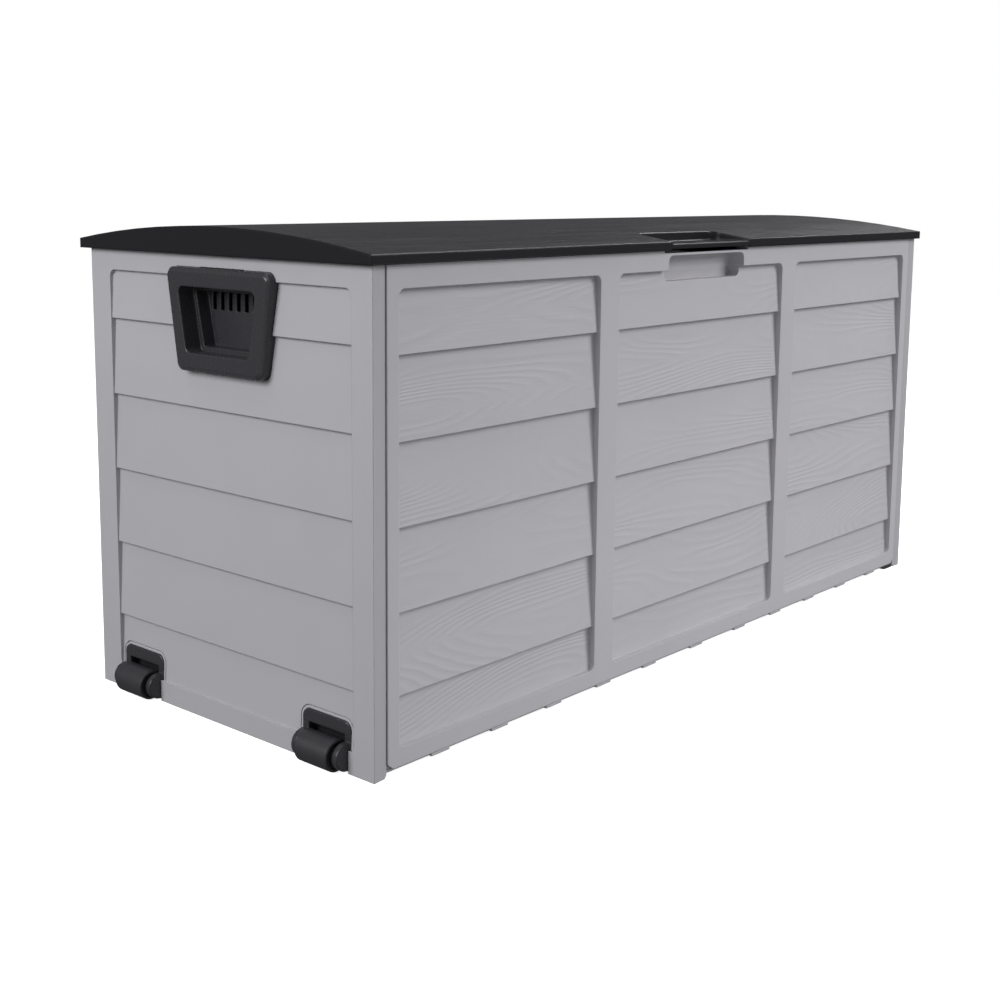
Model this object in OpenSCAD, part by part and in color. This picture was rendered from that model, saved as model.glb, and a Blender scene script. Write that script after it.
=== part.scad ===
// Outdoor deck storage box of moulded resin: five lapped-board panels, arched lid, cup handles, rollers.
// Frame: origin on the ground under the middle of the body, +X to the right along the front,
// the front faces -Y, +Z up.

/* [Body] */
// Length of the body over its end panels
body_length = 1104; // [1090:1:1118]
// Depth of the body from its front face to its rear face
body_depth = 444; // [438:1:450]
// Height of the panels' top edge
panel_top = 495.5; // [494:0.5:497]
// Thickness of every moulded wall
wall = 3; // [2.6:0.1:3.2]
// Depth of the front and rear panels from face to back edge
long_panel_depth = 18; // [17:0.5:19]
// Depth of the end panels, which is also the width they show on the front and rear
end_panel_depth = 17.5; // [17:0.5:18]

/* [Siding] */
// Height of one lapped board on the front and rear
long_board = 83; // [82:0.5:84]
// Height of the lowest board line on the front and rear
long_line_z = 76.7; // [75:0.1:78]
// Height of one lapped board on the ends
end_board = 83.5; // [82:0.5:84]
// Height of the lowest board line on the ends
end_line_z = 84.9; // [83:0.1:86]
// Width of the upright stiles between the columns of boards
stile = 34; // [30:1:38]
// Width of the middle column of boards
middle_column = 350; // [340:1:360]
// Corner radius of each column of boards
field_corner = 8; // [4:1:10]

/* [Lid] */
// How far the lid overhangs each end
lid_overhang_end = 7.1; // [6:0.1:8]
// How far the lid overhangs the front
lid_overhang_front = 5.2; // [4:0.1:6]
// How far the lid overhangs the rear
lid_overhang_rear = 10.6; // [10.6:0.1:12]
// Height of the lid rim's lower edge
lid_rim_z = 494; // [493.5:0.1:494.5]
// Height of the lid rim's band
lid_rim_height = 10.4; // [9.5:0.1:11]
// Rise of the lid's arch above its rim
lid_rise = 18.8; // [15:0.1:21]
// Opening angle of the lid, to preview it
lid_open = 0; // [0:1:95]

/* [Latch] */
// Width of the scoop in the lid
scoop_width = 164; // [156:2:170]
// How far the scoop reaches back from the body's front face
scoop_reach = 48; // [40:1:52]
// Height of the scoop's floor
scoop_floor_z = 501.6; // [500.5:0.1:502]
// Width of the finger recess in the front panel
recess_width = 162; // [150:2:166]
// Depth of the finger recess
recess_depth = 22; // [20:1:24]
// Radius of the hole for a padlock's shackle
shackle_hole_r = 4.5; // [4:0.1:5]

/* [Handles] */
// Width of the bezel at its top
bezel_top_width = 166; // [155:1:170]
// Width of the bezel at its bottom
bezel_bottom_width = 134; // [125:1:150]
// Height of the bezel
bezel_height = 106.5; // [98:0.5:108]
// How far the bezel stands out from the end face
bezel_proud = 9.5; // [6:0.5:11]
// Depth of the hand cup behind the end face
cup_depth = 25; // [22:1:28]

/* [Wheels] */
// Radius of a roller
roller_r = 16.3; // [15.5:0.1:17]
// Length of a roller
roller_length = 46; // [42:1:48]
// Height of the axle
axle_z = 17; // [16.8:0.1:18]
// How far the axle stands out from the end face
axle_out = 4.8; // [4:0.1:6]
// Radius of an axle
axle_r = 3; // [2.5:0.5:3.5]
// Distance between the two wheels
wheel_spacing = 300; // [290:2:310]

/* [Hidden] */
$fn = 64;

resin_grey = [0.63, 0.63, 0.66];
resin_black = [0.13, 0.13, 0.15];
lid_grey = [0.20, 0.20, 0.22];
roller_grey = [0.28, 0.28, 0.30];
steel = [0.75, 0.76, 0.78];

eps = 0.01;
arc_steps = 12;
gap = 0.4;                                  // clearance between pieces that only meet
panel_joint = 0.8;                          // open line between neighbouring panels
half_length = body_length / 2;
half_depth = body_depth / 2;
end_centre_y = -2.6;                        // centre line of the end panels' boards, handles and wheels

// Siding
long_width = body_length - 2 * (end_panel_depth + panel_joint);
outer_stile = 15.5;
side_column = (long_width - 2 * outer_stile - 2 * stile - middle_column) / 2;
long_fields = [
    for (s = [-1, 0, 1]) let (w = s == 0 ? middle_column : side_column,
                              c = s * (middle_column / 2 + stile + side_column / 2))
        [c - w / 2, c + w / 2]
];
long_bottom = 7.2;
long_field_z = [26, 471];
long_lip = 3.3;
long_lap = 9.2;
end_half_field = 190.8;
end_field_z = [23.5, 471.6];
end_lip = 1.3;
end_lap = 5.6;
flange_draft = 1.6;
flange_cut = 2.5;
corner_wall = wall + flange_draft;
board_lines = 5;
tongue_z = [60, 180, 300, 420];
tongue_height = 22;
tongue_reach = 5;
tongue_depth = [6, 9];

// Latch
latch_half_notch = 90;
ledge_z = 490.8;
recess_z = [458, 488];
tub_front = long_lap - 0.7;
scoop_corner = 12;
lip_bottom_z = 495.8;
eyelet_x = -64.5;
eyelet_y = -half_depth + 10;
eyelet_barrel_r = shackle_hole_r + 1.5;
eyelet_half_width = 23.5;
eyelet_half_depth = 7;
eyelet_top_z = 494.4;
eyelet_arch_rise = 3;
eyelet_arch_r = (pow(eyelet_half_width, 2) + pow(eyelet_arch_rise, 2)) / (2 * eyelet_arch_rise);

// Lid
lid_front_y = -half_depth - lid_overhang_front;
lid_rear_y = half_depth + lid_overhang_rear;
lid_half_length = half_length + lid_overhang_end;
lid_rim_top = lid_rim_z + lid_rim_height;
lid_mid_y = (lid_front_y + lid_rear_y) / 2;
lid_half_depth = (lid_rear_y - lid_front_y) / 2;
lid_arch_r = (pow(lid_half_depth, 2) + pow(lid_rise, 2)) / (2 * lid_rise);
lid_rib_z = panel_top + 0.6;
lid_rib = 2;
lid_rib_half_y = half_depth - 6;
lid_cross_ribs = [-500, -340, -200, 200, 340, 500];
lid_long_ribs = [-130, 0, 130];

// Hinge
hinge_y = half_depth + 7;
hinge_z = 500;
hinge_pin_r = 2;
knuckle_r = 4.5;
knuckle_fit = 0.06;
hinge_stations = [-400, 0, 400];
panel_knuckle = 26;
lid_knuckle = 16;
knuckle_gap = 0.5;
hinge_pin_length = 58;

// Handles
bezel_top_z = 480.5;
bezel_corner = 9;
bezel_seat = 9;
bezel_chamfer = 4;
bezel_chamfer_depth = 3;
handle_x = 3.4 - end_centre_y;
cup_top_width = 124;
cup_bottom_width = 99;
cup_z = [393.5, 461.5];
cup_corner = 7;
cup_step_depth = 10;
cup_step = 5;
cup_wall = 2.5;
vent_count = 8;
vent_pitch = 12.9;
vent_width = 6.2;
vent_bottom_z = 436;
tab_half_top = 34;
handle_screws = [[70, 467.4], [60.5, 385.5]];

// Screws
screw_r = 2;
screw_play = 0.05;
pin_play = 0.03;
screw_boss_r = 3.8;
screw_tip_y = -2;
screw_head = 2;
screw_head_r = 3.8;

// Wheels
wheel_plate_depth = 2.2;
wheel_plate_top = 50.8;
bracket_half_width = 34.6;
bracket_corner = 9;
bracket_seat = 9;
bracket_foot_z = 1;
bracket_screw_x = 26;
bracket_screw_z = 44.6;
rail_half_notch = 33;
rebate_width = 3.6;
rebate_depth = 5.4;
ear_inner = 26.1;
ear_thickness = 6.5;
ear_r = 13.8;
ear_out = 1.5;
well_wall = 2;
well_depth = 14;
well_half_width = ear_inner + well_wall;
well_top_z = 38 + well_wall;
axle_half = 31;
roller_fit = 0.06;
roller_hub_r = 6.5;
roller_edge = 1.2;
roller_rim = 3;
roller_dish = 3;
hub_half = ear_inner - 0.3;

// Floor
floor_sheet_z = [4, 6.8];
floor_top_z = 15;
floor_half_y = half_depth - 4;
tray_half_y = half_depth - long_panel_depth - 0.5;
floor_half_x = half_length - end_panel_depth - gap;
floor_cells_x = 6;
floor_cells_y = 4;
brace_half = 22;
brace_flange = 44;
brace_cell_y = [[26, 108], [111, 200]];
brace_screw_x = 35;
brace_screw_y = [-155, -55, 55, 155];
brace_screw_reach = 6.5;
brace_screw_head_r = 3.6;
tabs_per_half = 5;
tab_pitch = 90;
tab_first = 100;
tab_width = 26;
foot_x = [506, floor_half_x - 0.4];
foot_top_z = floor_sheet_z[0] - 0.2;
foot_peg = [521, 211];
foot_peg_r = 4;

// ---------- shared shapes ----------

// Rounded rectangle from [x0, y0] to [x1, y1]
module rounded_rect(x0, x1, y0, y1, r) {
    translate([x0 + r, y0]) square([x1 - x0 - 2 * r, y1 - y0]);
    translate([x0, y0 + r]) square([x1 - x0, y1 - y0 - 2 * r]);
    for (x = [x0 + r, x1 - r], y = [y0 + r, y1 - r]) translate([x, y]) circle(r);
}

// Points on an arc about c, from angle a0 to a1
function arc_points(c, r, a0, a1) =
    [for (i = [0:arc_steps]) let (a = a0 + (a1 - a0) * i / arc_steps) c + r * [cos(a), sin(a)]];

// Symmetric trapezoid with round corners
module rounded_trapezoid(bottom_w, top_w, z0, z1, r) {
    slope = (top_w - bottom_w) / 2 / (z1 - z0);
    run = sqrt(1 + slope * slope);
    low = [bottom_w / 2 + slope * r - r * run, z0 + r];
    high = [top_w / 2 - slope * r - r * run, z1 - r];
    right = concat(arc_points(low, r, -90, -atan(slope)), arc_points(high, r, -atan(slope), 90));
    polygon(concat(right, [for (i = [len(right) - 1:-1:0]) [-right[i][0], right[i][1]]]));
}

// Takes a drawing in (depth, height) and extrudes it along X, from x0 to x1
module along_x(x0, x1) {
    translate([x0, 0, 0]) rotate([90, 0, 90]) linear_extrude(x1 - x0) children();
}

// Takes a drawing in (across, height) and extrudes it along Y, from y0 to y1
module along_y(y0, y1) {
    translate([0, y1, 0]) rotate([90, 0, 0]) linear_extrude(y1 - y0) children();
}

// Box between two corners
module block(a, b) {
    translate(a) cube(b - a);
}

// Cylinder along X between x0 and x1, about (y, z)
module rod_x(x0, x1, y, z, r) {
    translate([x0, y, z]) rotate([0, 90, 0]) cylinder(r = r, h = x1 - x0);
}

// Cylinder along Y between y0 and y1, about (x, z)
module rod_y(y0, y1, x, z, r) {
    translate([x, y1, z]) rotate([90, 0, 0]) cylinder(r = r, h = y1 - y0);
}

// ---------- siding ----------

// Depth and height of the boards' face, from the field's bottom to its top
function board_face(levels, pitch, lip, lap) =
    let (slope = (lap - lip) / pitch, last = len(levels) - 1)
    [for (i = [0:last - 1])
        let (low = i == 0 ? lap - slope * (levels[1] - levels[0]) : lip,
             high = low + slope * (levels[i + 1] - levels[i]))
        each [[low, levels[i]], [high, levels[i + 1]]]];

// The same face one wall further in; each ledge is one wall thick
function board_back(levels, pitch, lip, lap) =
    let (slope = (lap - lip) / pitch, last = len(levels) - 1)
    [for (i = [0:last - 1])
        let (low = i == 0 ? lap - slope * (levels[1] - levels[0]) : lip,
             z0 = i == 0 ? levels[0] : levels[i] + wall,
             z1 = i == last - 1 ? levels[i + 1] : levels[i + 1] + wall,
             high = low + slope * (min(z1, levels[i + 1]) - levels[i]))
        each [[low + slope * (z0 - levels[i]) + wall, z0], [high + wall, z1]]];

// One moulded panel in its own frame: face at y = 0, boards sunk into it, ribbed and open at the back
module siding_panel(width, z0, z1, depth, fields, field_z, line_z, pitch, lip, lap) {
    levels = concat([field_z[0]], [for (i = [0:board_lines - 1]) line_z + pitch * i], [field_z[1]]);
    face = board_face(levels, pitch, lip, lap);
    back = board_back(levels, pitch, lip, lap);
    edges = concat([-width / 2 + wall], [for (f = fields) each [f[0] - wall, f[1] + wall]],
                   [width / 2 - wall]);
    difference() {
        block([-width / 2, 0, z0], [width / 2, depth, z1]);
        for (f = fields) {
            intersection() {
                along_x(f[0] - 1, f[1] + 1) polygon(concat([[-1, field_z[0]]], face, [[-1, field_z[1]]]));
                along_y(-2, depth) rounded_rect(f[0], f[1], field_z[0], field_z[1], field_corner);
            }
            along_x(f[0], f[1]) polygon(concat([[depth + 1, field_z[0]]], back, [[depth + 1, field_z[1]]]));
        }
        for (i = [0:len(fields)])
            block([edges[2 * i], wall, field_z[0]], [edges[2 * i + 1], depth + 1, field_z[1]]);
        for (z = [[z0 + wall, field_z[0] - wall], [field_z[1] + wall, z1 - wall]])
            block([-width / 2 + wall, wall, z[0]], [width / 2 - wall, depth + 1, z[1]]);
    }
}

module long_panel() {
    siding_panel(long_width, long_bottom, panel_top, long_panel_depth, long_fields, long_field_z,
                 long_line_z, long_board, long_lip, long_lap);
}

// Snap tongues that lock a long panel into the end panels' slots
module snap_tongues() {
    for (s = [-1, 1], z = tongue_z)
        block([s * long_width / 2 - (s < 0 ? tongue_reach : eps), tongue_depth[0], z],
              [s * long_width / 2 + (s < 0 ? eps : tongue_reach), tongue_depth[1], z + tongue_height]);
}

// ---------- front panel ----------

module front_panel() {
    half_recess = recess_width / 2;
    color(resin_grey) translate([0, -half_depth, 0]) difference() {
        union() {
            long_panel();
            snap_tongues();
            // walls of the finger recess and the ledge above it
            block([-half_recess - wall, tub_front, recess_z[0] - wall],
                  [half_recess + wall, recess_depth + wall, ledge_z]);
            block([-half_recess - wall, wall - eps, long_field_z[1]],
                  [half_recess + wall, tub_front + eps, ledge_z]);
            block([-latch_half_notch - wall, eps, recess_z[1]],
                  [latch_half_notch + wall, long_panel_depth, ledge_z]);
            for (s = [-1, 1]) translate([s * (latch_half_notch + wall / 2), 0, 0])
                block([-wall / 2, eps, ledge_z - wall], [wall / 2, long_panel_depth, panel_top]);
        }
        along_y(-1, recess_depth)
            rounded_rect(-half_recess, half_recess, recess_z[0], recess_z[1], field_corner);
        block([-latch_half_notch, -1, ledge_z], [latch_half_notch, recess_depth + 5, panel_top + 1]);
        translate([eyelet_x, eyelet_y + half_depth, recess_z[1] - 1])
            cylinder(r = eyelet_barrel_r + pin_play, h = 10);
        // lower corners cut back over the feet
        for (s = [-1, 1]) along_y(-1, wall + 1)
            polygon([[s * (long_width / 2 + 1), long_bottom - 1], [s * (long_width / 2 - 9), long_bottom - 1],
                     [s * (long_width / 2 + 1), long_bottom + 7]]);
    }
}

// Low arched saddle on the ledge, with a barrel through the ledge for the shackle
module padlock_eyelet() {
    color(resin_black) translate([eyelet_x, eyelet_y, 0]) difference() {
        union() {
            translate([0, 0, recess_z[1]]) cylinder(r = eyelet_barrel_r, h = ledge_z - recess_z[1] + 1);
            along_y(-eyelet_half_depth, eyelet_half_depth) intersection() {
                translate([0, eyelet_top_z - eyelet_arch_r]) circle(eyelet_arch_r, $fn = 360);
                translate([-eyelet_half_width, ledge_z]) square([2 * eyelet_half_width, 5]);
            }
        }
        translate([0, 0, recess_z[1] - 1]) cylinder(r = shackle_hole_r, h = 20);
    }
}

// ---------- rear panel ----------

module rear_panel() {
    color(resin_grey) {
        translate([0, half_depth, 0]) rotate([0, 0, 180]) {
            long_panel();
            snap_tongues();
        }
        for (x = hinge_stations) translate([x, 0, 0]) difference() {
            union() {
                block([-panel_knuckle / 2, half_depth - wall, hinge_z - 12],
                      [panel_knuckle / 2, hinge_y, hinge_z]);
                rod_x(-panel_knuckle / 2, panel_knuckle / 2, hinge_y, hinge_z, knuckle_r);
            }
            rod_x(-panel_knuckle, panel_knuckle, hinge_y, hinge_z, hinge_pin_r + knuckle_fit);
            // the bracket slopes away below the knuckle, so that it moulds without an undercut
            along_x(-panel_knuckle, panel_knuckle)
                polygon([[half_depth, hinge_z - 13], [hinge_y + 5, hinge_z - 13],
                         [hinge_y + 5, hinge_z - 3.5], [hinge_y + 2, hinge_z - 4.5]]);
            // room above the panel's top edge for the lid's underside
            block([-panel_knuckle, half_depth - wall - 1, panel_top],
                  [panel_knuckle, half_depth + 1, hinge_z + 6]);
        }
    }
}

// ---------- end panels ----------

// Outline of a handle's bezel, grown or shrunk evenly
module bezel_outline(grow) {
    rounded_trapezoid(bezel_bottom_width + 2 * grow, bezel_top_width + 2 * grow,
                      bezel_top_z - bezel_height - grow, bezel_top_z + grow, bezel_corner + grow);
}

// Outline of a handle's cup, grown or shrunk evenly
module cup_outline(grow) {
    rounded_trapezoid(cup_bottom_width + 2 * grow, cup_top_width + 2 * grow,
                      cup_z[0] - grow, cup_z[1] + grow, cup_corner + grow);
}

// Outline of a wheel bracket, open at the bottom
module bracket_outline(grow) {
    half = bracket_half_width + grow;
    rounded_rect(-half, half, -bracket_corner * 3, wheel_plate_top + grow, bracket_corner + grow);
}

// Takes a shape in the end panel's own frame to the left end
module to_left_end() {
    translate([-half_length, 0, 0]) rotate([0, 0, -90]) children();
}

// Places children at every screw of a handle, in the end panel's own frame
module at_handle_screws() {
    for (s = [-1, 1], p = handle_screws) translate([handle_x + s * p[0], 0, p[1]]) children();
}

// Places children at both wheels, in the end panel's own frame
module at_wheels() {
    for (s = [-1, 1]) translate([-end_centre_y + s * wheel_spacing / 2, 0, 0]) children();
}

// End panel in its own frame: face at y = 0, +X towards the front
module end_panel(wheels) {
    difference() {
        union() {
            siding_panel(body_depth, 0, panel_top, end_panel_depth,
                         [[-end_centre_y - end_half_field, -end_centre_y + end_half_field]],
                         end_field_z, end_line_z, end_board, end_lip, end_lap);
            // inner wall of each corner channel, which the long panels' tongues pass through
            for (x = [[-half_depth + eps, -end_centre_y - end_half_field],
                      [-end_centre_y + end_half_field, half_depth - eps]])
                block([x[0], end_panel_depth - wall, eps], [x[1], end_panel_depth, panel_top - eps]);
            for (s = [-1, 1]) translate([s * (half_depth - corner_wall / 2 - eps), 0, 0])
                block([-corner_wall / 2, eps, eps],
                      [corner_wall / 2, end_panel_depth - eps, panel_top - eps]);
            // seat behind the handle
            translate([handle_x, 0, 0]) along_y(end_lap, bezel_seat + gap + wall)
                bezel_outline(gap + wall);
            if (wheels) at_wheels() intersection() {
                along_y(end_lip + wall, bracket_seat + gap + wall) bracket_outline(gap + wall);
                block([-100, 0, eps], [100, end_panel_depth, 100]);
            }
        }
        translate([handle_x, 0, 0]) {
            along_y(-1, bezel_seat + gap) bezel_outline(gap);
            along_y(-1, end_panel_depth + 1) cup_outline(cup_wall + gap);
        }
        at_handle_screws() rod_y(0, 30, 0, 0, screw_r + screw_play);
        // the corner flanges lean back towards the long panels
        for (s = [-1, 1]) translate([0, 0, -1]) linear_extrude(panel_top + 2)
            polygon([[s * (half_depth + 1), -1], [s * (half_depth + 1), end_panel_depth + 1],
                     [s * (half_depth - flange_draft), end_panel_depth + 1],
                     [s * (half_depth - flange_draft), end_panel_depth], [s * half_depth, 0]]);
        // lower corners of the flanges cut off
        for (s = [-1, 1]) translate([s * half_depth, 0, 0]) along_x(-end_panel_depth, end_panel_depth)
            polygon([[end_panel_depth - flange_cut, -1], [end_panel_depth + 1, -1],
                     [end_panel_depth + 1, flange_cut], [end_panel_depth, flange_cut],
                     [end_panel_depth - flange_cut, 0]]);
        for (s = [-1, 1], z = tongue_z)
            block([s * half_depth - (s > 0 ? tongue_depth[1] + gap : -tongue_depth[0] + gap), 10, z - gap],
                  [s * half_depth - (s > 0 ? tongue_depth[0] - gap : -tongue_depth[1] - gap), 20,
                   z + tongue_height + gap]);
        if (wheels) at_wheels() {
            // the bottom rail overlaps the bracket's edges, the board above it does not
            along_y(-1, wheel_plate_depth) intersection() {
                bracket_outline(gap);
                translate([-100, end_field_z[0]]) square(200);
            }
            along_y(-1, wheel_plate_depth) rounded_rect(-rail_half_notch, rail_half_notch, -30, 40, 2);
            along_y(wheel_plate_depth - gap, bracket_seat + gap) bracket_outline(gap);
            along_y(-1, end_panel_depth + 1)
                rounded_rect(-well_half_width - gap, well_half_width + gap, -30, well_top_z + gap, 2);
            // rebate line that frames the bracket
            along_y(-1, rebate_depth) difference() {
                intersection() {
                    bracket_outline(gap + rebate_width);
                    translate([-100, end_field_z[0]]) square(200);
                }
                bracket_outline(gap + rebate_width - 1);
            }
            for (s = [-1, 1]) translate([s * bracket_screw_x, 0, 0])
                rod_y(0, 30, 0, bracket_screw_z, screw_r + screw_play);
        }
    }
}

module left_end_panel() {
    color(resin_grey) to_left_end() end_panel(true);
}

module right_end_panel() {
    color(resin_grey) mirror([1, 0, 0]) to_left_end() end_panel(false);
}

// ---------- handles ----------

// Cup handle in the end panel's own frame, open at the back
module handle() {
    difference() {
        union() {
            difference() {
                translate([handle_x, 0, 0]) union() {
                    hull() {
                        along_y(-bezel_proud, -bezel_proud + eps) bezel_outline(-bezel_chamfer);
                        along_y(-bezel_proud + bezel_chamfer_depth, -bezel_proud + bezel_chamfer_depth + eps)
                            bezel_outline(0);
                    }
                    along_y(-bezel_proud + bezel_chamfer_depth, bezel_seat) bezel_outline(0);
                }
                translate([handle_x, 0, 0])
                    along_y(-bezel_proud + wall, bezel_seat + 1) bezel_outline(-bezel_chamfer);
            }
            translate([handle_x, 0, 0]) {
                along_y(-bezel_proud + wall - eps, cup_step_depth + cup_wall) cup_outline(cup_wall);
                along_y(cup_step_depth, cup_depth + cup_wall) cup_outline(cup_wall - cup_step);
                // tab above the bezel, flat on the panel's face
                block([-tab_half_top, -1.4, bezel_top_z - eps], [tab_half_top, -0.1, bezel_top_z + 1.2]);
            }
            at_handle_screws() rod_y(-bezel_proud + wall - eps, bezel_seat, 0, 0, screw_boss_r);
        }
        translate([handle_x, 0, 0]) {
            along_y(-bezel_proud - 1, cup_step_depth) cup_outline(0);
            along_y(0, cup_depth) cup_outline(-cup_step);
            for (i = [0:vent_count - 1]) translate([(i - (vent_count - 1) / 2) * vent_pitch, 0, 0])
                block([-vent_width / 2, cup_depth - 1, vent_bottom_z],
                      [vent_width / 2, cup_depth + cup_wall + 1, cup_z[1] - cup_step - 1]);
        }
        at_handle_screws() rod_y(screw_tip_y - 1, bezel_seat + 1, 0, 0, screw_r + screw_play);
    }
}

// Screw along Y: head behind the seat, tip towards the face
module seat_screw(seat) {
    rod_y(screw_tip_y, seat + eps, 0, 0, screw_r);
    difference() {
        rod_y(seat, seat + screw_head, 0, 0, screw_head_r);
        block([-screw_head_r, seat + screw_head - 0.8, -0.5], [screw_head_r, seat + screw_head + 1, 0.5]);
        block([-0.5, seat + screw_head - 0.8, -screw_head_r], [0.5, seat + screw_head + 1, screw_head_r]);
    }
}

module handle_screws() {
    at_handle_screws() seat_screw(bezel_seat + gap + wall);
}

module left_handle() {
    color(resin_black) to_left_end() handle();
}

module right_handle() {
    color(resin_black) mirror([1, 0, 0]) to_left_end() handle();
}

module left_handle_screws() {
    color(steel) to_left_end() handle_screws();
}

module right_handle_screws() {
    color(steel) mirror([1, 0, 0]) to_left_end() handle_screws();
}

// ---------- wheels ----------

// Wheel bracket in the end panel's own frame, about x = 0: plate, wheel well and two ears
module wheel_bracket() {
    color(resin_black) difference() {
        union() {
            difference() {
                along_y(wheel_plate_depth, bracket_seat) bracket_outline(0);
                along_y(wheel_plate_depth + wall, bracket_seat + 1) bracket_outline(-wall);
            }
            for (s = [-1, 1]) {
                translate([s * bracket_screw_x, 0, 0])
                    rod_y(wheel_plate_depth, bracket_seat, 0, bracket_screw_z, screw_boss_r);
                // ear
                translate([s * (ear_inner + ear_thickness / 2) - ear_thickness / 2, 0, 0]) intersection() {
                    union() {
                        rod_x(0, ear_thickness, -ear_out, axle_z, ear_r);
                        block([0, -ear_out, axle_z - ear_r], [ear_thickness, bracket_seat, axle_z + ear_r]);
                    }
                    block([-eps, -ear_out - ear_r, 0], [ear_thickness + eps, bracket_seat, axle_z + ear_r]);
                }
            }
            block([-well_half_width, wheel_plate_depth, 0],
                  [well_half_width, well_depth + well_wall, well_top_z]);
        }
        block([-ear_inner, -50, -1], [ear_inner, well_depth, well_top_z - well_wall]);
        rod_x(-axle_half, axle_half, -axle_out, axle_z, axle_r + pin_play);
        block([-100, -50, -100], [100, 50, bracket_foot_z]);
        for (s = [-1, 1]) translate([s * bracket_screw_x, 0, 0])
            rod_y(wheel_plate_depth + wall - 0.5, bracket_seat + 1, 0, bracket_screw_z, screw_r + screw_play);
    }
}

module bracket_screws() {
    color(steel) for (s = [-1, 1]) translate([s * bracket_screw_x, 0, bracket_screw_z])
        difference() {
            union() {
                rod_y(wheel_plate_depth + wall, bracket_seat + gap + wall + eps, 0, 0, screw_r);
                rod_y(bracket_seat + gap + wall, bracket_seat + gap + wall + screw_head, 0, 0, screw_head_r);
            }
            block([-screw_head_r, bracket_seat + gap + wall + screw_head - 0.8, -0.5],
                  [screw_head_r, bracket_seat + gap + wall + screw_head + 1, 0.5]);
        }
}

module axle() {
    color(steel) rod_x(-axle_half + 0.2, axle_half - 0.2, -axle_out, axle_z, axle_r);
}

module roller() {
    half = roller_length / 2;
    bore = axle_r + roller_fit;
    color(roller_grey) translate([0, -axle_out, axle_z]) rotate([0, 90, 0]) rotate_extrude() difference() {
        union() {
            polygon([[bore, -half], [roller_r - roller_edge, -half], [roller_r, -half + roller_edge],
                     [roller_r, half - roller_edge], [roller_r - roller_edge, half], [bore, half]]);
            // the hub keeps the roller in the middle between the ears
            translate([bore, -hub_half]) square([roller_hub_r - bore, 2 * hub_half]);
        }
        for (s = [-1, 1]) translate([roller_hub_r, s > 0 ? half - roller_dish : -half - 1])
            square([roller_r - roller_rim - roller_hub_r, roller_dish + 1]);
    }
}

// side is 1 for the front wheel and -1 for the rear one
module at_wheel(side) {
    to_left_end() translate([-end_centre_y + side * wheel_spacing / 2, 0, 0]) children();
}

module front_wheel_bracket() {
    at_wheel(1) wheel_bracket();
}

module rear_wheel_bracket() {
    at_wheel(-1) wheel_bracket();
}

module front_bracket_screws() {
    at_wheel(1) bracket_screws();
}

module rear_bracket_screws() {
    at_wheel(-1) bracket_screws();
}

module front_axle() {
    at_wheel(1) axle();
}

module rear_axle() {
    at_wheel(-1) axle();
}

module front_roller() {
    at_wheel(1) roller();
}

module rear_roller() {
    at_wheel(-1) roller();
}

// ---------- floor ----------

// Right half of the floor: a sheet under the panels, a ribbed tray between them, and locating tabs
module floor_half() {
    x0 = brace_half + gap;
    cell_x = (floor_half_x - x0 - wall) / floor_cells_x;
    cell_y = (2 * tray_half_y - wall) / floor_cells_y;
    difference() {
        union() {
            block([x0, -floor_half_y, floor_sheet_z[0]], [floor_half_x, floor_half_y, floor_sheet_z[1]]);
            block([x0, -tray_half_y, floor_sheet_z[0]], [floor_half_x, tray_half_y, floor_top_z]);
            for (i = [0:tabs_per_half - 1], s = [-1, 1])
                translate([tab_first + tab_pitch * i, s * (floor_half_y + half_depth) / 2, 0])
                    block([-tab_width / 2, -(half_depth - floor_half_y) / 2 - eps, floor_sheet_z[0]],
                          [tab_width / 2, (half_depth - floor_half_y) / 2 + eps, floor_sheet_z[1]]);
        }
        for (i = [0:floor_cells_x - 1], j = [0:floor_cells_y - 1])
            block([x0 + wall + cell_x * i, -tray_half_y + wall + cell_y * j, 0],
                  [x0 + cell_x * (i + 1), -tray_half_y + cell_y * (j + 1), floor_top_z - wall]);
        for (s = [-1, 1]) translate([foot_peg[0], s * foot_peg[1], 0])
            cylinder(r = foot_peg_r + pin_play, h = 20);
    }
    for (y = brace_screw_y) translate([brace_screw_x, y, floor_sheet_z[0]]) difference() {
        cylinder(r = screw_boss_r + 0.5, h = floor_top_z - wall - floor_sheet_z[0] + eps);
        translate([0, 0, -1]) cylinder(r = screw_r + screw_play, h = brace_screw_reach + 1);
    }
}

module floor_right_half() {
    color(resin_grey) floor_half();
}

module floor_left_half() {
    color(resin_grey) mirror([1, 0, 0]) floor_half();
}

module floor_brace() {
    flange_z = [0.8, floor_sheet_z[0] - gap];
    color(resin_grey) difference() {
        union() {
            block([-brace_half, -floor_half_y, floor_sheet_z[0]],
                  [brace_half, floor_half_y, floor_sheet_z[1]]);
            block([-brace_half, -tray_half_y, flange_z[0]], [brace_half, tray_half_y, floor_top_z]);
            block([-brace_flange, -tray_half_y, flange_z[0]], [brace_flange, tray_half_y, flange_z[1]]);
            block([-tab_width / 2, -half_depth, floor_sheet_z[0]],
                  [tab_width / 2, half_depth, floor_sheet_z[1]]);
            // the foot under the middle of the box
            block([-brace_half, -brace_half, 0], [brace_half, brace_half, floor_top_z]);
        }
        for (y = brace_cell_y, s = [-1, 1])
            block([-brace_half + wall, s * (y[0] + y[1]) / 2 - (y[1] - y[0]) / 2, -1],
                  [brace_half - wall, s * (y[0] + y[1]) / 2 + (y[1] - y[0]) / 2, floor_top_z - wall]);
        at_brace_screws() {
            translate([0, 0, -1]) cylinder(r = screw_r + screw_play, h = 10);
            translate([0, 0, -1]) cylinder(r = brace_screw_head_r + screw_play, h = flange_z[0] + 2.5);
        }
    }
}

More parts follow.
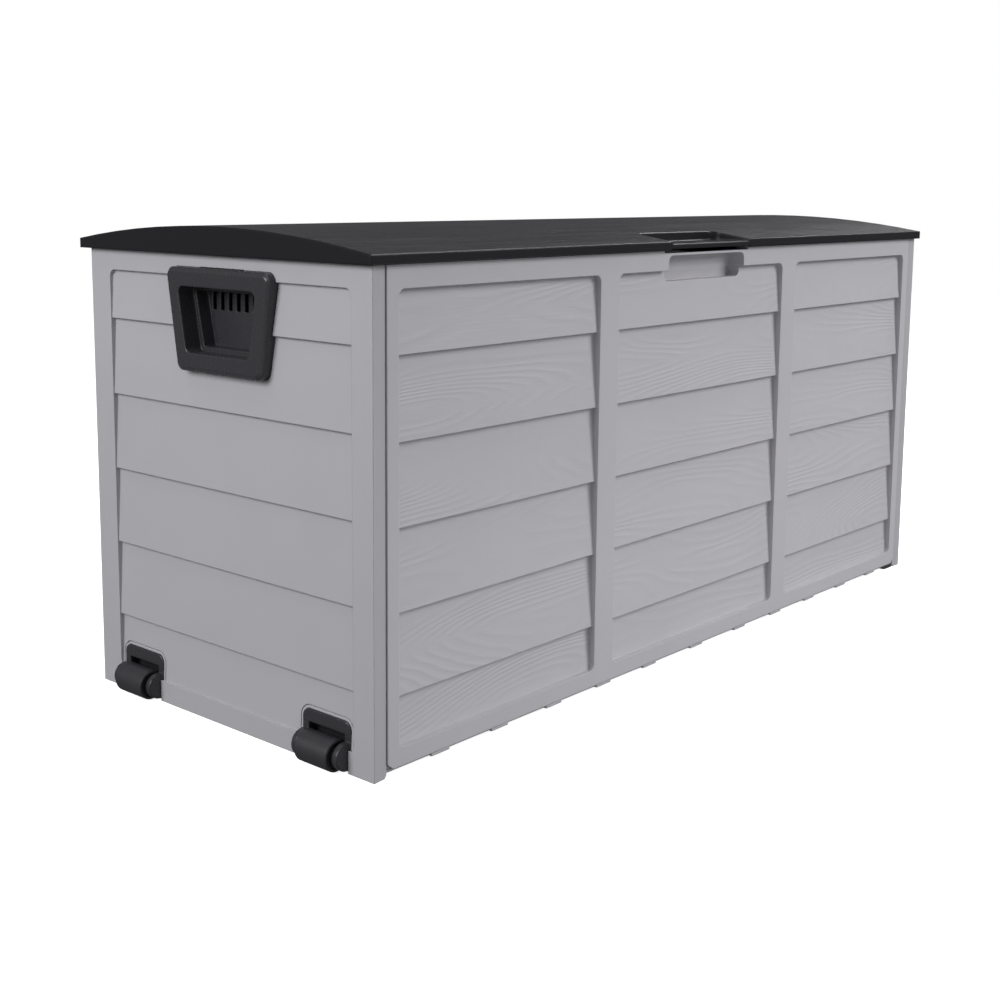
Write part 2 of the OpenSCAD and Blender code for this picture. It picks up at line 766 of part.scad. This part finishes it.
module at_brace_screws() {
    for (s = [-1, 1], y = brace_screw_y) translate([s * brace_screw_x, y, 0]) children();
}

module floor_brace_screws() {
    color(steel) at_brace_screws() difference() {
        union() {
            translate([0, 0, 1]) cylinder(r = brace_screw_head_r, h = 1.3);
            translate([0, 0, 2]) cylinder(r = screw_r, h = floor_sheet_z[0] + brace_screw_reach - 2.5);
        }
        block([-5, -0.5, 0], [5, 0.5, 1.6]);
    }
}

// Corner foot under the right end, at the front; its inner side slopes
module foot() {
    color(resin_black) {
        along_y(-half_depth + 2, -half_depth + 40)
            polygon([[foot_x[0] + 5, 0], [foot_x[1], 0], [foot_x[1], foot_top_z], [foot_x[0], foot_top_z]]);
        translate([foot_peg[0], -foot_peg[1], foot_top_z - eps])
            cylinder(r = foot_peg_r, h = floor_sheet_z[1] - foot_top_z);
    }
}

module right_front_foot() {
    foot();
}

module right_rear_foot() {
    mirror([0, 1, 0]) foot();
}

// ---------- lid ----------

// Section of the lid, drawn in (depth, height) and shrunk by inset
module lid_section(inset) {
    intersection() {
        translate([lid_front_y + inset, lid_rim_z - (inset > 0 ? 1 : 0)])
            square([lid_rear_y - lid_front_y - 2 * inset, 60]);
        translate([lid_mid_y, lid_rim_top + lid_rise - lid_arch_r]) circle(lid_arch_r - inset, $fn = 720);
    }
}

// Plan of the scoop, open at the front, grown evenly
module scoop_plan(grow) {
    rear = -half_depth + scoop_reach + grow;
    half = scoop_width / 2 + grow;
    rounded_rect(-half, half, lid_front_y - 100, rear, scoop_corner + grow);
}

module lid_ribs() {
    for (x = lid_cross_ribs) block([x - lid_rib / 2, -lid_rib_half_y, lid_rib_z],
                                   [x + lid_rib / 2, lid_rib_half_y, lid_rim_z + 40]);
    for (y = lid_long_ribs) block([-lid_half_length + wall + lid_rib, y - lid_rib / 2, lid_rib_z],
                                  [lid_half_length - wall - lid_rib, y + lid_rib / 2, lid_rim_z + 40]);
}

module lid_shell() {
    difference() {
        along_x(-lid_half_length, lid_half_length) lid_section(0);
        difference() {
            along_x(-lid_half_length + wall, lid_half_length - wall) lid_section(wall);
            lid_ribs();
            // walls and floor of the scoop
            translate([0, 0, scoop_floor_z - wall]) linear_extrude(40) scoop_plan(wall);
        }
        translate([0, 0, scoop_floor_z]) linear_extrude(60) scoop_plan(0);
        // the skirt is cut short under the scoop's lip
        block([-scoop_width / 2 - wall, lid_front_y - 1, lid_rim_z - 1],
              [scoop_width / 2 + wall, lid_front_y + wall + 1, lip_bottom_z]);
    }
}

module lid() {
    color(lid_grey)
    translate([0, hinge_y, hinge_z]) rotate([-lid_open, 0, 0]) translate([0, -hinge_y, -hinge_z])
    difference() {
        union() {
            lid_shell();
            for (x = hinge_stations, s = [-1, 1])
                translate([x + s * (panel_knuckle / 2 + knuckle_gap + lid_knuckle / 2), 0, 0])
                    rod_x(-lid_knuckle / 2, lid_knuckle / 2, hinge_y, hinge_z, knuckle_r);
        }
        for (x = hinge_stations) {
            // notch round the panel's knuckle
            block([x - panel_knuckle / 2 - knuckle_gap, hinge_y - knuckle_r - 1, lid_rim_z - 1],
                  [x + panel_knuckle / 2 + knuckle_gap, lid_rear_y + 2, lid_rim_z + 20]);
            rod_x(x - hinge_pin_length / 2 - 1, x + hinge_pin_length / 2 + 1, hinge_y, hinge_z,
                  hinge_pin_r + knuckle_fit);
        }
        translate([eyelet_x, eyelet_y, scoop_floor_z - wall - 1])
            cylinder(r = shackle_hole_r + 0.5, h = wall + 2);
    }
}

module hinge_pin(x) {
    color(steel) rod_x(x - hinge_pin_length / 2, x + hinge_pin_length / 2, hinge_y, hinge_z, hinge_pin_r);
}

module left_hinge_pin() {
    hinge_pin(hinge_stations[0]);
}

module middle_hinge_pin() {
    hinge_pin(hinge_stations[1]);
}

module right_hinge_pin() {
    hinge_pin(hinge_stations[2]);
}

front_panel();
rear_panel();
left_end_panel();
right_end_panel();
floor_left_half();
floor_right_half();
floor_brace();
floor_brace_screws();
lid();
left_hinge_pin();
middle_hinge_pin();
right_hinge_pin();
left_handle();
right_handle();
left_handle_screws();
right_handle_screws();
front_wheel_bracket();
rear_wheel_bracket();
front_bracket_screws();
rear_bracket_screws();
front_axle();
rear_axle();
front_roller();
rear_roller();
padlock_eyelet();
right_front_foot();
right_rear_foot();
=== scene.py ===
"""Outdoor deck storage box: materials, softened edges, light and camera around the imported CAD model."""

import bpy
from mathutils import Matrix, Vector


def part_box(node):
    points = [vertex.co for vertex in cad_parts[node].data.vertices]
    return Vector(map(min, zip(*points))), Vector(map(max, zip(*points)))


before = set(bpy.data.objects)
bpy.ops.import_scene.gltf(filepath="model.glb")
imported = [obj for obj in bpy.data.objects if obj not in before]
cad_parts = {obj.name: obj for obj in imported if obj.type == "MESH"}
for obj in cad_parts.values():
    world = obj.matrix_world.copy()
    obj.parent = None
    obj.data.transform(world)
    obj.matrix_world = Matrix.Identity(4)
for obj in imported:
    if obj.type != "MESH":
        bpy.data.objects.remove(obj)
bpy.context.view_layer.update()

MM = 0.001

# Driving places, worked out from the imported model
end_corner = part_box("left_end_panel")[0]
HALF_LENGTH = -end_corner.x
HALF_DEPTH = -end_corner.y

# The siding, as in the design: lapped boards, set in behind a frame of rails and upright stiles
BOARD = 83 * MM
BOARD_LINE = 76.7 * MM
BOARD_DEPTH = (2.4 * MM, 3.0 * MM)
MIDDLE_COLUMN = 350 * MM
STILE = 34 * MM
COLUMN_EDGE = (MIDDLE_COLUMN + STILE) / 2

# The scoop in the lid: half its length, and how far it reaches back from the front
SCOOP_HALF = 82 * MM
SCOOP_REACH = 48 * MM

# Where the painted shade inside the wheel wells begins, inwards of the left end
WELL_SHADE_START = -HALF_LENGTH + 5 * MM

# Width over which one finish gives way to the next
FADE = 2 * MM


# ---------- node helpers ----------

class Nodes:
    """Builds one material's node tree with short calls."""

    def __init__(self, name, base, roughness, edge, **shader):
        self.material = bpy.data.materials.new(name)
        self.material.use_nodes = True
        self.tree = self.material.node_tree
        self.shader = self.tree.nodes["Principled BSDF"]
        self.shader.inputs["Base Color"].default_value = (*base, 1)
        self.shader.inputs["Roughness"].default_value = roughness
        for key, value in shader.items():
            self.shader.inputs[key.replace("_", " ")].default_value = value
        coordinates = self.add("ShaderNodeTexCoord")
        self.place = coordinates.outputs["Object"]
        self.facing = coordinates.outputs["Normal"]
        rounded = self.add("ShaderNodeBevel", samples=8)
        rounded.inputs["Radius"].default_value = edge
        self.rounded = rounded.outputs["Normal"]

    def add(self, kind, **settings):
        node = self.tree.nodes.new(kind)
        for key, value in settings.items():
            setattr(node, key, value)
        return node

    def put(self, socket, value):
        if isinstance(value, bpy.types.NodeSocket):
            self.tree.links.new(value, socket)
        else:
            socket.default_value = value

    def math(self, operation, a, b=0.0, c=0.0):
        node = self.add("ShaderNodeMath", operation=operation)
        for socket, value in zip(node.inputs, (a, b, c)):
            self.put(socket, value)
        return node.outputs[0]

    def split(self, vector):
        node = self.add("ShaderNodeSeparateXYZ")
        self.put(node.inputs[0], vector)
        return node.outputs

    def scaled(self, vector, x, y, z):
        node = self.add("ShaderNodeVectorMath", operation="MULTIPLY")
        self.put(node.inputs[0], vector)
        node.inputs[1].default_value = (x, y, z)
        return node.outputs[0]

    def noise(self, vector, scale=1.0, detail=2.0, rough=0.5, seed=None):
        node = self.add("ShaderNodeTexNoise", noise_dimensions="3D" if seed is None else "4D")
        self.put(node.inputs["Vector"], vector)
        node.inputs["Scale"].default_value = scale
        node.inputs["Detail"].default_value = detail
        node.inputs["Roughness"].default_value = rough
        if seed is not None:
            self.put(node.inputs["W"], seed)
        return node.outputs["Fac"]

    def ramp(self, value, low, high, to_low=0.0, to_high=1.0, smooth=True):
        node = self.add("ShaderNodeMapRange", interpolation_type="SMOOTHSTEP" if smooth else "LINEAR")
        for key, v in zip(("Value", "From Min", "From Max", "To Min", "To Max"),
                          (value, low, high, to_low, to_high)):
            self.put(node.inputs[key], v)
        return node.outputs["Result"]

    def blend(self, factor, a, b):
        """Mix of two colours, each an (r, g, b) or another node's output."""
        node = self.add("ShaderNodeMix", data_type="RGBA")
        self.put(node.inputs["Factor"], factor)
        for key, color in (("A", a), ("B", b)):
            self.put(node.inputs[key], color if isinstance(color, bpy.types.NodeSocket) else (*color, 1))
        return node.outputs["Result"]

    def bump(self, height, distance, strength=1.0, under=None):
        """Relief over the piece's softly rounded edges, or over another relief."""
        node = self.add("ShaderNodeBump")
        node.inputs["Strength"].default_value = strength
        node.inputs["Distance"].default_value = distance
        self.put(node.inputs["Height"], height)
        self.put(node.inputs["Normal"], self.rounded if under is None else under)
        return node.outputs[0]

    def finish(self, color=None, roughness=None, normal=None):
        for key, value in (("Base Color", color), ("Roughness", roughness), ("Normal", normal)):
            if value is not None:
                self.put(self.shader.inputs[key], value)
        return self.material


# ---------- materials ----------

BODY = (0.455, 0.448, 0.474)
END = (0.398, 0.392, 0.416)
LID = (0.0125, 0.0122, 0.0150)
BLACK = (0.033, 0.0322, 0.037)
ROLLER = (0.028, 0.0274, 0.032)

# Radius of each material's softened edges
BODY_EDGE = 1.4 * MM
LID_EDGE = 3.0 * MM
BLACK_EDGE = 2.6 * MM
ROLLER_EDGE = 0.9 * MM
STEEL_EDGE = 0.4 * MM
FLOOR_EDGE = 0.5 * MM

# Embossed wood grain: lines per unit of the slow noise, how much they wander, and the relief's height
GRAIN_LINES = 250.0
GRAIN_WANDER = 3.4
GRAIN_HEIGHT = 0.4 * MM


def shade(color, factor):
    """The same colour, darker or lighter."""
    return tuple(c * factor for c in color)


def moulded_skin(n, scale=1100.0):
    """Fine orange-peel of a moulded face."""
    return n.noise(n.place, scale, 2.0, 0.55)


def body_material(name, base, grain):
    """Grey resin; with grain, the recessed boards carry an embossed cathedral wood grain."""
    n = Nodes(name, base, 0.5, BODY_EDGE, Specular_IOR_Level=0.42)
    cloud = n.noise(n.place, 9.0, 3.0, 0.6)
    color = n.blend(cloud, shade(base, 0.965), shade(base, 1.035))
    roughness = n.ramp(n.noise(n.place, 70.0, 3.0), 0.3, 0.7, 0.46, 0.56)
    normal = n.bump(moulded_skin(n), 0.00006, 0.5)
    if grain:
        x, y, z = n.split(n.place)
        depth = n.math("SUBTRACT", HALF_DEPTH, n.math("ABSOLUTE", y))
        on_board = n.ramp(depth, *BOARD_DEPTH)
        row = n.math("FLOOR", n.math("DIVIDE", n.math("SUBTRACT", z, BOARD_LINE), BOARD))
        column = n.math("ADD", n.math("GREATER_THAN", x, -COLUMN_EDGE),
                        n.math("GREATER_THAN", x, COLUMN_EDGE))
        side = n.math("GREATER_THAN", y, 0.0)
        # Each board has its own seed, so no two carry the same grain
        seed = n.math("ADD", n.math("MULTIPLY", row, 3.71), n.math("MULTIPLY", column, 11.3))
        seed = n.math("ADD", seed, n.math("MULTIPLY", side, 5.9))
        # Growth rings cut lengthwise: a slow noise, folded into lines by a sine
        rings = n.noise(n.scaled(n.place, 1.7, 1.7, 10.0), 1.0, 1.5, 0.35, seed)
        wander = n.noise(n.scaled(n.place, 18.0, 18.0, 90.0), 1.0, 2.0, 0.5, seed)
        phase = n.math("ADD", n.math("MULTIPLY", rings, GRAIN_LINES),
                       n.math("MULTIPLY", wander, GRAIN_WANDER))
        line = n.math("POWER", n.math("MULTIPLY_ADD", n.math("SINE", phase), 0.5, 0.5), 1.6)
        pores = n.noise(n.scaled(n.place, 22.0, 22.0, 620.0), 1.0, 3.0, 0.6, seed)
        relief = n.math("ADD", n.math("MULTIPLY", line, 0.65), n.math("MULTIPLY", pores, 0.6))
        patches = n.noise(n.scaled(n.place, 6.0, 6.0, 16.0), 1.0, 2.0, 0.5, seed)
        strength = n.ramp(patches, 0.32, 0.62, 0.6, 1.0)
        relief = n.math("MULTIPLY", n.math("MULTIPLY", relief, strength), on_board)
        normal = n.bump(relief, GRAIN_HEIGHT, 0.85, normal)
    return n.finish(color, roughness, normal)


def lid_material():
    """Charcoal resin; the crown has a fine lengthwise grain, the rim and the scoop are smooth."""
    n = Nodes("lid_resin", LID, 0.30, LID_EDGE, Specular_IOR_Level=0.3)
    x, y, z = n.split(n.place)
    up = n.split(n.facing)[2]
    off_scoop = n.math("MAXIMUM", n.ramp(n.math("ABSOLUTE", x), SCOOP_HALF, SCOOP_HALF + FADE),
                       n.ramp(y, SCOOP_REACH - HALF_DEPTH, SCOOP_REACH - HALF_DEPTH + FADE))
    crown = n.math("MULTIPLY", n.ramp(up, 0.85, 0.97), off_scoop)
    fine = n.noise(n.scaled(n.place, 9.0, 430.0, 40.0), 1.0, 4.0, 0.65)
    broad = n.noise(n.scaled(n.place, 3.0, 95.0, 10.0), 1.0, 3.0, 0.55)
    streak = n.math("ADD", n.math("MULTIPLY", fine, 0.6), n.math("MULTIPLY", broad, 0.4))
    streak = n.ramp(streak, 0.36, 0.64)
    mix = n.math("MULTIPLY", crown, streak)
    color = n.blend(mix, LID, shade(LID, 2.2))
    roughness = n.ramp(mix, 0.0, 1.0, 0.28, 0.5, smooth=False)
    normal = n.bump(moulded_skin(n), 0.00004, 0.4)
    normal = n.bump(n.math("MULTIPLY", streak, crown), GRAIN_HEIGHT, 0.8, normal)
    return n.finish(color, roughness, normal)


def black_material(name, paint_well_shade=False):
    """Satin black resin of the handles, the brackets and the feet; on request, with painted shade that
    darkens the inside of the wheel wells.
    """
    n = Nodes(name, BLACK, 0.28, BLACK_EDGE, Specular_IOR_Level=0.5)
    cloud = n.noise(n.place, 60.0, 3.0, 0.6)
    color = n.blend(cloud, shade(BLACK, 0.95), shade(BLACK, 1.07))
    roughness = n.ramp(n.noise(n.place, 240.0, 3.0), 0.3, 0.7, 0.25, 0.31)
    if paint_well_shade:
        # Painted shade: beyond the wells' start the colour turns near black (and rougher), standing in for
        # the shadow inside the wheel wells
        painted_shade_mask = n.ramp(n.split(n.place)[0], WELL_SHADE_START, WELL_SHADE_START + FADE)
        color = n.blend(painted_shade_mask, color, shade(BLACK, 0.12))
        roughness = n.math("MAXIMUM", roughness, n.math("MULTIPLY", painted_shade_mask, 0.8))
    return n.finish(color, roughness, n.bump(moulded_skin(n, 1500.0), 0.00005, 0.5))


def roller_material():
    """Dark grey resin with faint rings round the tread, where it has rolled."""
    n = Nodes("roller_resin", ROLLER, 0.42, ROLLER_EDGE, Specular_IOR_Level=0.45)
    rings = n.noise(n.scaled(n.place, 12.0, 900.0, 12.0), 1.0, 3.0, 0.6)
    color = n.blend(rings, shade(ROLLER, 0.8), shade(ROLLER, 1.25))
    roughness = n.ramp(rings, 0.3, 0.7, 0.36, 0.52)
    return n.finish(color, roughness, n.bump(rings, 0.00006, 0.5))


def steel_material():
    """Zinc-plated steel of the hinge pins, the axles and the screws."""
    n = Nodes("zinc_steel", (0.56, 0.57, 0.60), 0.3, STEEL_EDGE, Metallic=1.0)
    grain = n.noise(n.scaled(n.place, 300.0, 2200.0, 2200.0), 1.0, 3.0, 0.6)
    color = n.blend(grain, (0.50, 0.51, 0.54), (0.62, 0.63, 0.66))
    return n.finish(color, n.ramp(grain, 0.3, 0.7, 0.24, 0.4), n.bump(grain, 0.00002, 0.4))


def floor_material():
    """Pale, nearly even floor that glows, so that it looks white without lighting anything."""
    n = Nodes("pale_floor", (0.93, 0.93, 0.935), 0.6, FLOOR_EDGE, Specular_IOR_Level=0.1,
              Emission_Color=(1, 1, 1, 1), Emission_Strength=0.85)
    cloud = n.noise(n.place, 2.0, 3.0, 0.5)
    return n.finish(n.blend(cloud, (0.92, 0.92, 0.925), (0.945, 0.945, 0.95)))


def paint(node, material):
    """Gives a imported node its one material."""
    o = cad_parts[node]
    o.data.materials.clear()
    o.data.materials.append(material)


# ---------- light, camera and floor ----------

FLOOR_HALF = 6.0
FLOOR_GAP = 0.5 * MM

# Light of the room, as seen by surfaces: its weakest, its strongest, the direction of the strongest,
# and the cosines to that direction between which one turns into the other
ROOM_DIM = 0.12
ROOM_BRIGHT = 0.34
ROOM_TOWARDS = (-0.62, -0.58, 0.53)
ROOM_SPREAD = (-0.35, 0.9)

CAMERA_PLACE = (-1.4714, -1.1768, 0.5690)
CAMERA_RIGHT = (0.65245, -0.75777, 0.01015)
CAMERA_DOWN = (-0.10426, -0.10301, -0.9892)
CAMERA_FORWARD = (0.75063, 0.64434, -0.14621)


def make_camera():
    """Camera whose own axes point right, up and backwards."""
    data = bpy.data.cameras.new("camera")
    data.sensor_width = 36
    data.lens = 52.39
    data.shift_x = -0.010
    data.shift_y = -0.102
    data.clip_end = 50
    camera = bpy.data.objects.new("camera", data)
    bpy.context.scene.collection.objects.link(camera)
    axes = Matrix((Vector(CAMERA_RIGHT), -Vector(CAMERA_DOWN), -Vector(CAMERA_FORWARD))).transposed()
    camera.matrix_world = Matrix.Translation(CAMERA_PLACE) @ axes.to_4x4()
    bpy.context.scene.camera = camera


def area_light(name, place, aim, size, power):
    """Rectangular soft box, which the camera itself doesn't see."""
    data = bpy.data.lights.new(name, "AREA")
    data.shape = "RECTANGLE"
    data.size, data.size_y = size
    data.energy = power
    light = bpy.data.objects.new(name, data)
    bpy.context.scene.collection.objects.link(light)
    light.location = place
    light.visible_camera = False
    light.rotation_euler = (Vector(aim) - Vector(place)).to_track_quat("-Z", "Y").to_euler()


def make_floor(material):
    """Pale floor that glows enough to look white, and neither lights the object nor mirrors in it."""
    corners = [(x * FLOOR_HALF, y * FLOOR_HALF, 0) for x, y in ((-1, -1), (1, -1), (1, 1), (-1, 1))]
    mesh = bpy.data.meshes.new("floor")
    mesh.from_pydata(corners, [], [(0, 1, 2, 3)])
    floor = bpy.data.objects.new("floor", mesh)
    bpy.context.scene.collection.objects.link(floor)
    floor.location.z = -FLOOR_GAP
    mesh.materials.append(material)
    floor.visible_diffuse = False
    floor.visible_glossy = False


def make_world():
    """White to the camera; as light, a dim room that is brighter on the camera's side and overhead."""
    world = bpy.data.worlds.new("studio")
    bpy.context.scene.world = world
    world.use_nodes = True
    tree = world.node_tree
    background = tree.nodes["Background"]

    def add(kind, **settings):
        node = tree.nodes.new(kind)
        for key, value in settings.items():
            setattr(node, key, value)
        return node

    direction = add("ShaderNodeTexCoord").outputs["Generated"]
    toward = add("ShaderNodeVectorMath", operation="DOT_PRODUCT")
    tree.links.new(direction, toward.inputs[0])
    toward.inputs[1].default_value = Vector(ROOM_TOWARDS).normalized()
    level = add("ShaderNodeMapRange", interpolation_type="SMOOTHSTEP")
    tree.links.new(toward.outputs["Value"], level.inputs["Value"])
    for key, value in zip(("From Min", "From Max", "To Min", "To Max"),
                          (*ROOM_SPREAD, ROOM_DIM, ROOM_BRIGHT)):
        level.inputs[key].default_value = value
    seen = add("ShaderNodeMix", data_type="FLOAT")
    tree.links.new(add("ShaderNodeLightPath").outputs["Is Camera Ray"], seen.inputs["Factor"])
    tree.links.new(level.outputs["Result"], seen.inputs["A"])
    seen.inputs["B"].default_value = 1.0
    tree.links.new(seen.outputs["Result"], background.inputs["Strength"])
    background.inputs["Color"].default_value = (1, 1, 1, 1)


# ---------- assembly ----------

finishes = {
    body_material("body_resin_grained", BODY, grain=True): ("front_panel", "rear_panel"),
    body_material("body_resin", END, grain=False): (
        "left_end_panel", "right_end_panel", "floor_left_half", "floor_right_half", "floor_brace"),
    lid_material(): ("lid",),
    black_material("black_resin"): (
        "left_handle", "right_handle", "right_front_foot", "right_rear_foot", "padlock_eyelet"),
    # The wheel brackets get the black resin with painted shade inside their wheel wells
    black_material("black_resin_painted_shade", paint_well_shade=True): ("front_wheel_bracket", "rear_wheel_bracket"),
    roller_material(): ("front_roller", "rear_roller"),
    steel_material(): (
        "floor_brace_screws", "left_hinge_pin", "middle_hinge_pin", "right_hinge_pin", "left_handle_screws",
        "right_handle_screws", "front_bracket_screws", "rear_bracket_screws", "front_axle", "rear_axle"),
}
for finish, nodes in finishes.items():
    for node in nodes:
        paint(node, finish)

bpy.context.scene.view_settings.view_transform = "Standard"
make_world()
make_floor(floor_material())
make_camera()
area_light("left_box", place=(-3.0, 0.35, 1.6), aim=(-0.55, 0, 0.25), size=(1.6, 1.4), power=64)
area_light("front_box", place=(1.7, -2.7, 2.1), aim=(0.2, -0.2, 0.2), size=(1.8, 1.8), power=82)
area_light("low_box", place=(0.0, -0.8, 0.04), aim=(0.0, -0.22, 0.1), size=(1.4, 0.08), power=1.2)
area_light("right_box", place=(2.4, -0.25, 2.3), aim=(0, -0.2, 0.5), size=(1.0, 0.8), power=42)
area_light("top_box", place=(-0.4, 0.6, 2.6), aim=(-0.1, 0, 0.5), size=(2.0, 1.2), power=16)
